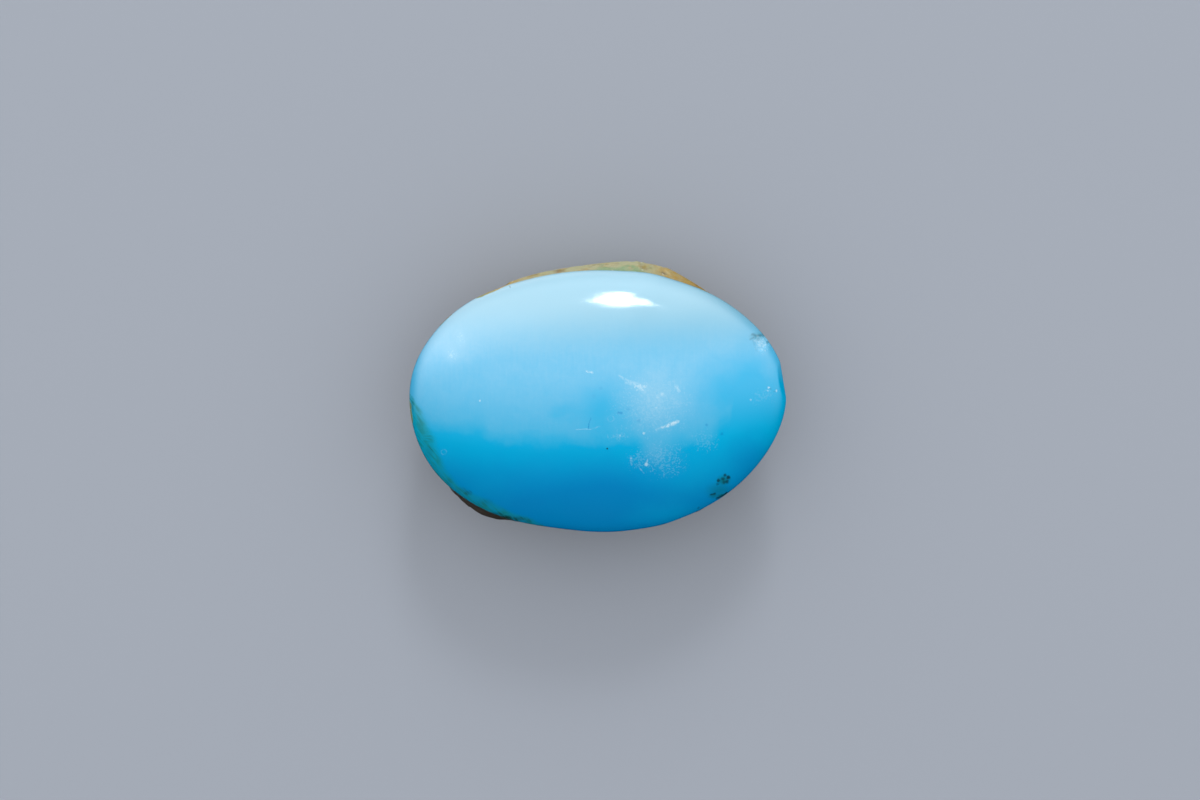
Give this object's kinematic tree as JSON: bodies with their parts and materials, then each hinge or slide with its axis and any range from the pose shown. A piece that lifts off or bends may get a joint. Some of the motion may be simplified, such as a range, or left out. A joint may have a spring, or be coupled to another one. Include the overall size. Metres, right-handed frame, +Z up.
{
  "type": "turquoise stone",
  "caption": "Oval turquoise stone with a smooth polished blue dome on the rough brown matrix that it grew in, ground flat where it rests.",
  "frame": {"origin": "middle of the stone's box in plan, on the surface that it lies on", "axes": "+X along the stone's length, +Z up through the polished dome"},
  "size_m": [0.02, 0.0144, 0.008],
  "materials": {
    "turquoise_and_matrix": "polished waxy blue dome with pale clouding, rough brown, ochre and green matrix on the sides and back"
  },
  "bodies": {
    "root": {"turquoise_stone": "turquoise_and_matrix"}
  },
  "joints": []
}
